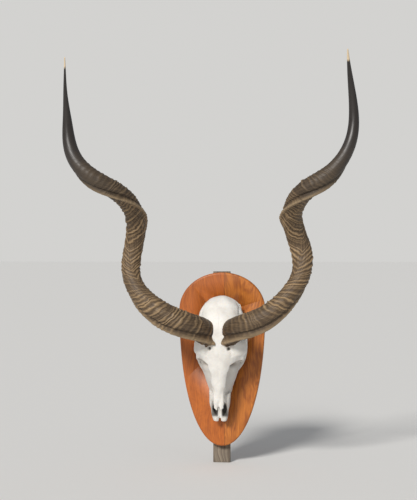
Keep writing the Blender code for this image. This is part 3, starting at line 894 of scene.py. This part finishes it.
def make_plaque(settings):
    bm = bmesh.new()
    for index in range(PLAQUE_POINTS):
        x, z = plaque_outline(2 * math.pi * index / PLAQUE_POINTS)
        bm.verts.new((x, PLAQUE_BACK_Y, z))
    back = bm.faces.new(bm.verts)
    grown = bmesh.ops.extrude_face_region(bm, geom=[back], use_keep_orig=True)
    front = [item for item in grown["geom"] if isinstance(item, bmesh.types.BMVert)]
    bmesh.ops.translate(bm, verts=front, vec=(0, PLAQUE_FRONT_Y - PLAQUE_BACK_Y, 0))
    bmesh.ops.recalc_face_normals(bm, faces=bm.faces)
    bevel(bm, edges_at(bm, PLAQUE_FRONT_Y), settings.edge_radius, 8)
    bevel(bm, edges_at(bm, PLAQUE_BACK_Y), PLAQUE_BACK_EDGE, 2)
    plaque = new_object("plaque_board", bm, BOARD_SHARP_ANGLE)
    cut(plaque, [screw_hole(*screw) for screw in SCREWS.items()])
    return plaque


def make_batten():
    low, high = BATTEN_BOX
    bm = bmesh.new()
    bmesh.ops.create_cube(bm, size=1.0)
    shape = Matrix.LocRotScale((low + high) / 2, None, high - low)
    bmesh.ops.transform(bm, verts=bm.verts, matrix=shape)
    bevel(bm, bm.edges[:], BATTEN_EDGE, 3)
    batten = new_object("batten_board", bm, BOARD_SHARP_ANGLE)
    cut(batten, [screw_hole(*screw) for screw in BATTEN_SCREWS.items()])
    return batten


def make_screw(node, length):
    """A countersunk screw with a cross in its head and a thread on its shank."""
    low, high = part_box(node)
    angles = even_angles(SCREW_SIDES)
    radii, places = zip(*screw_profile(length))
    threaded = np.linspace(places[1] + 0.001, places[2], SCREW_RINGS)
    rings = []
    for depth in (*places[:2], *threaded, places[3]):
        radius = np.interp(depth, places, radii)
        if depth > THREAD_START:
            wave = np.cos(2 * math.pi * depth / SCREW_PITCH - angles)
            radius = radius - THREAD_DEPTH * (0.5 - 0.5 * wave)
        radius = np.maximum(radius, 0.0001)
        rings.append(ring(radius * np.cos(angles), high.y + SCREW_GAP - depth,
                          radius * np.sin(angles)))
    middle = Vector(((low.x + high.x) / 2, 0.0, (low.z + high.z) / 2))
    screw = new_object(node + "_threaded", skin(rings), SCREW_SHARP_ANGLE)
    screw.data.transform(Matrix.Translation(middle))
    slots = []
    for turn in (0, math.pi / 2):
        bm = bmesh.new()
        bmesh.ops.create_cube(bm, size=1.0)
        place = middle + Vector((0.0, high.y, 0.0))
        shape = Matrix.LocRotScale(place, Matrix.Rotation(turn, 3, "Y"), Vector(SLOT_SIZE))
        bmesh.ops.transform(bm, verts=bm.verts, matrix=shape)
        slots.append(new_object("slot", bm))
    cut(screw, slots)
    return screw


# The colour sockets of a Mix node, whose names its other kinds of value have too
MIX_FIRST = 6
MIX_SECOND = 7
MIX_RESULT = 2


class Nodes:
    """Adds nodes to a material or node group and joins them."""

    def __init__(self, tree):
        self.tree = tree

    def add(self, kind, inputs=None, **settings):
        node = self.tree.nodes.new(kind)
        for name, value in settings.items():
            setattr(node, name, value)
        return self.fill(node, inputs or {})

    def fill(self, node, inputs):
        for key, value in inputs.items():
            self.feed(node.inputs[key], value)
        return node

    def feed(self, socket, value):
        if isinstance(value, bpy.types.NodeSocket):
            self.tree.links.new(value, socket)
        elif isinstance(value, (tuple, list)) and len(value) == 3 and socket.type == "RGBA":
            socket.default_value = (*value, 1.0)
        else:
            socket.default_value = value

    def attribute(self, name, output="Fac"):
        return self.add("ShaderNodeAttribute", attribute_name=name).outputs[output]

    def maths(self, operation, first, second=0.0, clamp=False):
        inputs = {0: first, 1: second}
        return self.add("ShaderNodeMath", inputs, operation=operation, use_clamp=clamp).outputs[0]

    def times(self, first, second):
        return self.maths("MULTIPLY", first, second)

    def plus(self, first, second, clamp=False):
        return self.maths("ADD", first, second, clamp)

    def scaled(self, vector, scale):
        node = self.add("ShaderNodeVectorMath", {0: vector, 1: scale}, operation="MULTIPLY")
        return node.outputs[0]

    def noise(self, vector, scale, detail=3.0, roughness=0.55, distortion=0.0):
        inputs = {"Vector": vector, "Scale": scale, "Detail": detail, "Roughness": roughness,
                  "Distortion": distortion}
        return self.add("ShaderNodeTexNoise", inputs).outputs["Fac"]

    def ramp(self, value, stops):
        """A colour read from a ramp. Stops are (place, colour)."""
        node = self.add("ShaderNodeValToRGB", {"Fac": value})
        elements = node.color_ramp.elements
        while len(elements) < len(stops):
            elements.new(0.5)
        for element, (place, colour) in zip(elements, stops):
            element.position = place
            element.color = (*colour, 1.0)
        return node.outputs["Color"]

    def range(self, value, low, high, to_low=0.0, to_high=1.0):
        inputs = {"Value": value, "From Min": low, "From Max": high, "To Min": to_low,
                  "To Max": to_high}
        return self.add("ShaderNodeMapRange", inputs).outputs["Result"]

    def mix(self, amount, first, second, blend="MIX"):
        node = self.add("ShaderNodeMix", data_type="RGBA", blend_type=blend)
        self.feed(node.inputs["Factor"], amount)
        self.feed(node.inputs[MIX_FIRST], first)
        self.feed(node.inputs[MIX_SECOND], second)
        return node.outputs[MIX_RESULT]

    def bump(self, height, strength, distance):
        inputs = {"Height": height, "Strength": strength, "Distance": distance}
        return self.add("ShaderNodeBump", inputs).outputs["Normal"]


def new_material(name, look):
    """A material with its Principled shader and its nodes to add to."""
    made = bpy.data.materials.new(name)
    made.use_nodes = True
    made.diffuse_color = (*plain(look), 1.0)
    return made, Nodes(made.node_tree), made.node_tree.nodes["Principled BSDF"]


def plain(colour, share=1.0):
    """A colour as a tuple, darkened to a share of its light."""
    return tuple(value * share for value in colour[:3])


# Horn: the painted light on the rings' crests and the painted shade in their gaps, as shares of
# the body's colour, the grey in its darker part, and where along it the rings fade out and the
# ivory-coloured tip begins
HORN_CREST_PAINTED_LIGHT = (1.75, 1.7, 1.56)
HORN_GAP_PAINTED_SHADE = (0.36, 0.31, 0.26)
HORN_GREY = 0.006
RINGS_SHOWN = (0.6, 0.76)
IVORY_PLACE = (0.966, 0.976)


def horn_material(settings):
    made, nodes, shader = new_material("Horn", settings.middle_colour)
    along, ridge, keel, groove_mask = [nodes.attribute(name) for name in (
        "along", "ridge", "keel", "groove")]
    straight = nodes.attribute("straight", "Vector")
    middle = plain(settings.middle_colour)
    warm = plain(middle, 0.8)
    dark = tuple(value * 0.42 + HORN_GREY for value in middle)
    drift = nodes.noise(straight, 26.0)
    place = nodes.plus(along, nodes.range(drift, 0.3, 0.7, -0.025, 0.025))
    body = nodes.ramp(place, [
        (0.0, plain(settings.base_colour)), (0.06, warm), (0.2, middle), (0.42, middle),
        (0.54, warm), (0.64, dark), (0.74, plain(settings.end_colour)),
        (0.92, plain(settings.end_colour, 0.62))])

    # Painted light on the crests and painted shade in the gaps, which fade out where the rings do
    streaks = nodes.noise(nodes.scaled(straight, (1.0, 1.0, 0.06)), 520.0, 4.0, 0.65)
    ringed = nodes.range(along, *RINGS_SHOWN, 1.0, 0.12)
    pale = nodes.mix(1.0, body, HORN_CREST_PAINTED_LIGHT, "MULTIPLY")
    shade = nodes.mix(1.0, body, HORN_GAP_PAINTED_SHADE, "MULTIPLY")
    relief = nodes.range(ridge, -0.05, 0.75)
    streaked = nodes.range(streaks, 0.3, 0.7, -0.35, 0.35)
    grained = nodes.plus(relief, nodes.times(streaked, ringed))
    tone = nodes.plus(0.5, nodes.times(nodes.plus(grained, -0.5), ringed), True)
    toned = nodes.mix(nodes.range(ringed, 0.12, 1.0), body, nodes.mix(tone, shade, pale))

    # The keel is painted pale: partly its own paler horn, partly painted highlight along its edge
    keel_pale_and_highlight = nodes.mix(0.55, body, plain(settings.keel_colour))
    keel_pale_and_highlight_amount = nodes.times(keel, nodes.range(streaks, 0.25, 0.6, 0.65, 1.0))
    keel_pale_and_highlight_amount = nodes.times(keel_pale_and_highlight_amount, nodes.range(along, 0.6, 0.74, 1.0, 0.0))
    toned = nodes.mix(keel_pale_and_highlight_amount, toned, keel_pale_and_highlight)
    # Painted shade in the groove beside the keel
    groove_painted_shade = nodes.times(groove_mask, nodes.range(along, 0.6, 0.78, 0.75, 0.0))
    toned = nodes.mix(groove_painted_shade, toned, shade)
    dirt = nodes.noise(straight, 60.0, 5.0, 0.6)
    toned = nodes.mix(nodes.range(dirt, 0.56, 0.74, 0.0, 0.45), toned, shade)
    ragged = nodes.noise(nodes.scaled(straight, (1.0, 1.0, 0.3)), 90.0)
    ivory_place = nodes.plus(along, nodes.range(ragged, 0.3, 0.7, -0.006, 0.006))
    ivory = nodes.range(ivory_place, *IVORY_PLACE)
    fine = nodes.noise(nodes.scaled(straight, (1.0, 1.0, 0.05)), 900.0, 5.0, 0.7)
    strength = nodes.range(along, 0.55, 0.78, 0.55, 0.1)
    nodes.fill(shader, {
        "Base Color": nodes.mix(ivory, toned, plain(settings.tip_colour)),
        "Roughness": nodes.plus(nodes.range(along, 0.62, 0.8, 0.62, 0.36),
                                nodes.range(streaks, 0.3, 0.7, 0.08, -0.08)),
        "IOR": 1.54,
        "Normal": nodes.bump(fine, strength, 0.0006)})
    return made


def bone_material(settings):
    made, nodes, shader = new_material("Bone", settings.bone_colour)
    place = nodes.attribute("face_place", "Vector")
    clouds = nodes.noise(place, 22.0, 4.0, 0.6)
    pores = nodes.noise(place, 900.0, 3.0, 0.6)
    mottle = nodes.noise(place, 130.0, 5.0, 0.65)
    shade = plain(settings.shade_colour)
    stain_and_painted_shade = plain(settings.stain_colour)
    clouded = nodes.range(clouds, 0.42, 0.72, 0.0, 0.75)
    toned = nodes.mix(clouded, plain(settings.bone_colour), shade)
    toned = nodes.mix(nodes.range(mottle, 0.56, 0.8, 0.0, 0.4), toned, shade)
    # Painted shade: near black in the foramina ("pit") and the nose cavity, dark brown in the
    # recess beside each eye, and grey on the side faces ("cheek") over their greyer bone. The
    # teeth and the brown smear are the bone's own colours.
    for mask, amount, colour in (
            ("tooth", 1.0, plain(settings.tooth_colour)),
            ("pit", 0.85, plain(stain_and_painted_shade, 0.06)),
            ("cheek", 0.55, plain(shade, 0.72)),
            ("cavity", 1.0, plain(stain_and_painted_shade, 0.05)),
            ("smear", nodes.range(mottle, 0.4, 0.7, 0.1, 0.8), stain_and_painted_shade),
            ("recess", 0.85, plain(stain_and_painted_shade, 0.45))):
        toned = nodes.mix(nodes.times(nodes.attribute(mask), amount), toned, colour)
    nodes.fill(shader, {
        "Base Color": toned, "Roughness": 0.62, "IOR": 1.5, "Subsurface Weight": 0.1,
        "Subsurface Radius": (0.004, 0.003, 0.002), "Subsurface Scale": 0.5,
        "Normal": nodes.bump(pores, 0.18, 0.0004)})
    return made


def wood_group():
    """Wood grain along Z: streaks, figure and pores as masks from 0 to 1."""
    group = bpy.data.node_groups.new("Wood Grain", "ShaderNodeTree")
    group.interface.new_socket("Vector", in_out="INPUT", socket_type="NodeSocketVector")
    for name in ("Stretch", "Fineness", "Figure"):
        group.interface.new_socket(name, in_out="INPUT", socket_type="NodeSocketFloat")
    for name in ("Streaks", "Figure", "Pores"):
        group.interface.new_socket(name, in_out="OUTPUT", socket_type="NodeSocketFloat")
    nodes = Nodes(group)
    given = nodes.add("NodeGroupInput").outputs
    stretch = nodes.add("ShaderNodeCombineXYZ", {"X": 1.0, "Y": 1.0, "Z": given["Stretch"]})
    warp = nodes.noise(given["Vector"], 7.0, 2.0)
    warp = nodes.times(nodes.plus(warp, -0.5), 0.05)
    shift = nodes.add("ShaderNodeCombineXYZ", {"X": warp}).outputs[0]
    bent = nodes.add("ShaderNodeVectorMath", {0: given["Vector"], 1: shift}, operation="ADD")
    long = nodes.scaled(bent.outputs[0], stretch.outputs[0])
    streaks = nodes.noise(long, given["Fineness"], 5.0, 0.62)
    flame = nodes.noise(nodes.scaled(bent.outputs[0], (1.0, 1.0, 0.28)), 16.0, 3.0, 0.5, 0.9)
    waves = nodes.maths("SINE", nodes.times(flame, 60.0))
    figure = nodes.plus(0.5, nodes.times(waves, 0.5))
    pores = nodes.noise(nodes.scaled(bent.outputs[0], (1.0, 1.0, 0.03)), 1400.0, 2.0)
    nodes.add("NodeGroupOutput", {
        "Streaks": streaks, "Figure": nodes.times(figure, given["Figure"]),
        "Pores": nodes.range(pores, 0.58, 0.72)})
    return group


def grain(nodes, vector, stretch, fineness, figure):
    group = bpy.data.node_groups.get("Wood Grain") or wood_group()
    inputs = {"Vector": vector, "Stretch": stretch, "Fineness": fineness, "Figure": figure}
    return nodes.add("ShaderNodeGroup", node_tree=group, inputs=inputs).outputs


# What makes the plaque's left board redder
REDDER = (0.9, 0.74, 0.58)


def plaque_material(settings):
    made, nodes, shader = new_material("Plaque Wood", settings.plaque_light)
    place = nodes.add("ShaderNodeTexCoord").outputs["Object"]
    across = nodes.add("ShaderNodeSeparateXYZ", {0: place}).outputs["X"]
    wood = grain(nodes, place, 0.045, 190.0, 0.9)
    right = nodes.range(across, PLAQUE_JOINT_X - 0.0002, PLAQUE_JOINT_X + 0.0002)
    figure = nodes.times(wood["Figure"], nodes.range(right, 0.0, 1.0, 0.25, 0.75))
    streaks = nodes.range(wood["Streaks"], 0.3, 0.7)
    dark = nodes.plus(nodes.times(figure, 0.55), nodes.times(streaks, 0.5), True)
    deep = plain(settings.plaque_dark)
    toned = nodes.mix(dark, plain(settings.plaque_light), deep)
    toned = nodes.mix(right, nodes.mix(1.0, toned, REDDER, "MULTIPLY"), toned)
    joint = nodes.maths("ABSOLUTE", nodes.plus(across, -PLAQUE_JOINT_X))
    toned = nodes.mix(nodes.range(joint, 0.0002, 0.0009, 0.75, 0.0), toned, plain(deep, 0.25))
    toned = nodes.mix(nodes.times(wood["Pores"], 0.5), toned, plain(deep, 0.45))
    nodes.fill(shader, {
        "Base Color": toned, "Roughness": 0.5, "Coat Weight": 0.12, "Coat Roughness": 0.35,
        "Normal": nodes.bump(wood["Pores"], 0.25, -0.0003)})
    return made


def batten_material(settings):
    made, nodes, shader = new_material("Batten Wood", settings.batten_light)
    place = nodes.add("ShaderNodeTexCoord").outputs["Object"]
    wood = grain(nodes, place, 0.03, 260.0, 0.15)
    deep = plain(settings.batten_dark)
    toned = nodes.mix(nodes.range(wood["Streaks"], 0.34, 0.68), plain(settings.batten_light), deep)
    nodes.fill(shader, {
        "Base Color": nodes.mix(nodes.times(wood["Figure"], 0.4), toned, deep),
        "Roughness": 0.82,
        "Normal": nodes.bump(wood["Streaks"], 0.5, 0.0006)})
    return made


def steel_material():
    made, nodes, shader = new_material("Screw Steel", (0.58, 0.56, 0.54))
    dull = nodes.noise(nodes.add("ShaderNodeTexCoord").outputs["Object"], 700.0)
    nodes.fill(shader, {
        "Base Color": nodes.mix(nodes.range(dull, 0.4, 0.7, 0.0, 0.6), (0.62, 0.61, 0.6),
                                (0.34, 0.3, 0.27)),
        "Metallic": 1.0,
        "Roughness": nodes.range(dull, 0.3, 0.7, 0.28, 0.5)})
    return made


def add_floor(colour):
    """A wide plain floor just under the lowest point of the object."""
    bm = bmesh.new()
    bmesh.ops.create_grid(bm, x_segments=1, y_segments=1, size=FLOOR_SIZE)
    bmesh.ops.translate(bm, verts=bm.verts, vec=(0, 0, CAD_BOX[0].z - FLOOR_DROP))
    floor = new_object("floor", bm)
    finish, nodes, shader = new_material("Floor", colour)
    nodes.fill(shader, {"Base Color": plain(colour), "Roughness": 0.9})
    floor.data.materials.append(finish)


def add_sun(strength):
    """A broad soft light from the upper left in front."""
    light = bpy.data.lights.new("Key", "SUN")
    light.energy = strength
    light.angle = SUN_BREADTH
    light.color = SUN_COLOUR
    made = linked("Key", light)
    made.rotation_euler = Vector(SUN_DIRECTION).to_track_quat("-Z", "Y").to_euler()
    made.location = Vector(SUN_DIRECTION) * -3


def add_world(backdrop):
    """A plain pale backdrop that lights the object less than it shows."""
    world = bpy.data.worlds.new("Studio")
    world.use_nodes = True
    bpy.context.scene.world = world
    nodes = Nodes(world.node_tree)
    shown = world.node_tree.nodes["Background"]
    nodes.feed(shown.inputs["Color"], plain(backdrop))
    ambient = nodes.add("ShaderNodeBackground",
                        {"Color": AMBIENT_COLOUR, "Strength": AMBIENT_STRENGTH})
    seen = nodes.add("ShaderNodeLightPath").outputs["Is Camera Ray"]
    chosen = nodes.add("ShaderNodeMixShader",
                       {0: seen, 1: ambient.outputs[0], 2: shown.outputs[0]})
    nodes.feed(world.node_tree.nodes["World Output"].inputs["Surface"], chosen.outputs[0])


def add_camera():
    camera = bpy.data.cameras.new("Camera")
    camera.lens = CAMERA_LENS
    made = linked("Camera", camera)
    forward = Vector((-math.sin(CAMERA_TURN), math.cos(CAMERA_TURN), 0))
    made.location = Vector(CAMERA_TARGET) - forward * CAMERA_DISTANCE
    made.rotation_euler = (math.pi / 2, 0, CAMERA_TURN)
    bpy.context.scene.camera = made


class KUDU_OT_make_horns(bpy.types.Operator):
    """Build both spiral horns with their growth rings and keel"""

    bl_idname = "kudu.make_horns"
    bl_label = "Make Horns"
    bl_options = {"REGISTER", "UNDO"}

    def execute(self, context):
        settings = context.scene.kudu_horn
        finish = horn_material(settings)
        for hand, side, stations, axis, seed in HORNS:
            horn = Horn(side, stations, axis)
            made = make_horn(hand + "_kudu_horn", horn, seed, settings)
            dress(made, finish, "horn", hand + "_horn")
        return {"FINISHED"}


class KUDU_OT_make_skull(bpy.types.Operator):
    """Build the bleached skull"""

    bl_idname = "kudu.make_skull"
    bl_label = "Make Skull"
    bl_options = {"REGISTER", "UNDO"}

    def execute(self, context):
        dress(make_skull(), bone_material(context.scene.kudu_bone), "bone", "skull")
        return {"FINISHED"}


class KUDU_OT_make_wood(bpy.types.Operator):
    """Build the plaque and the batten behind it"""

    bl_idname = "kudu.make_wood"
    bl_label = "Make Plaque and Batten"
    bl_options = {"REGISTER", "UNDO"}

    def execute(self, context):
        settings = context.scene.kudu_wood
        dress(make_plaque(settings), plaque_material(settings), "plaque_wood", "plaque")
        dress(make_batten(), batten_material(settings), "batten_wood", "back_batten")
        return {"FINISHED"}


class KUDU_OT_make_screws(bpy.types.Operator):
    """Build the countersunk screws of the batten and the skull"""

    bl_idname = "kudu.make_screws"
    bl_label = "Make Screws"
    bl_options = {"REGISTER", "UNDO"}

    def execute(self, context):
        finish = steel_material()
        for node, length in SCREWS.items():
            dress(make_screw(node, length), finish, "screw_steel", node)
        return {"FINISHED"}


class KUDU_OT_make_stage(bpy.types.Operator):
    """Set up the floor, the light, the backdrop and the camera"""

    bl_idname = "kudu.make_stage"
    bl_label = "Make Stage"
    bl_options = {"REGISTER", "UNDO"}

    def execute(self, context):
        settings = context.scene.kudu_stage
        add_floor(settings.floor_colour)
        add_sun(settings.key_strength)
        add_world(settings.backdrop)
        context.scene.view_settings.view_transform = "Standard"
        add_camera()
        return {"FINISHED"}


class KUDU_PT_panel(bpy.types.Panel):
    bl_label = "Kudu Horns"
    bl_idname = "KUDU_PT_panel"
    bl_space_type = "VIEW_3D"
    bl_region_type = "UI"
    bl_category = "Kudu"

    def draw(self, context):
        scene = context.scene
        groups = (
            (scene.kudu_horn, ("kudu.make_horns",)),
            (scene.kudu_bone, ("kudu.make_skull",)),
            (scene.kudu_wood, ("kudu.make_wood", "kudu.make_screws")),
            (scene.kudu_stage, ("kudu.make_stage",)),
        )
        for settings, operators in groups:
            box = self.layout.box()
            for name in settings.__annotations__:
                box.prop(settings, name)
            for operator in operators:
                box.operator(operator)


CLASSES = (HornSettings, BoneSettings, WoodSettings, StageSettings, KUDU_OT_make_horns,
           KUDU_OT_make_skull, KUDU_OT_make_wood, KUDU_OT_make_screws, KUDU_OT_make_stage,
           KUDU_PT_panel)
SETTINGS = {"kudu_horn": HornSettings, "kudu_bone": BoneSettings, "kudu_wood": WoodSettings,
            "kudu_stage": StageSettings}


def register():
    for item in CLASSES:
        bpy.utils.register_class(item)
    for name, group in SETTINGS.items():
        setattr(bpy.types.Scene, name, bpy.props.PointerProperty(type=group))


def unregister():
    for name in SETTINGS:
        delattr(bpy.types.Scene, name)
    for item in reversed(CLASSES):
        bpy.utils.unregister_class(item)


def main():
    register()
    bpy.ops.kudu.make_horns()
    bpy.ops.kudu.make_skull()
    bpy.ops.kudu.make_wood()
    bpy.ops.kudu.make_screws()
    bpy.ops.kudu.make_stage()


if __name__ == "__main__":
    main()
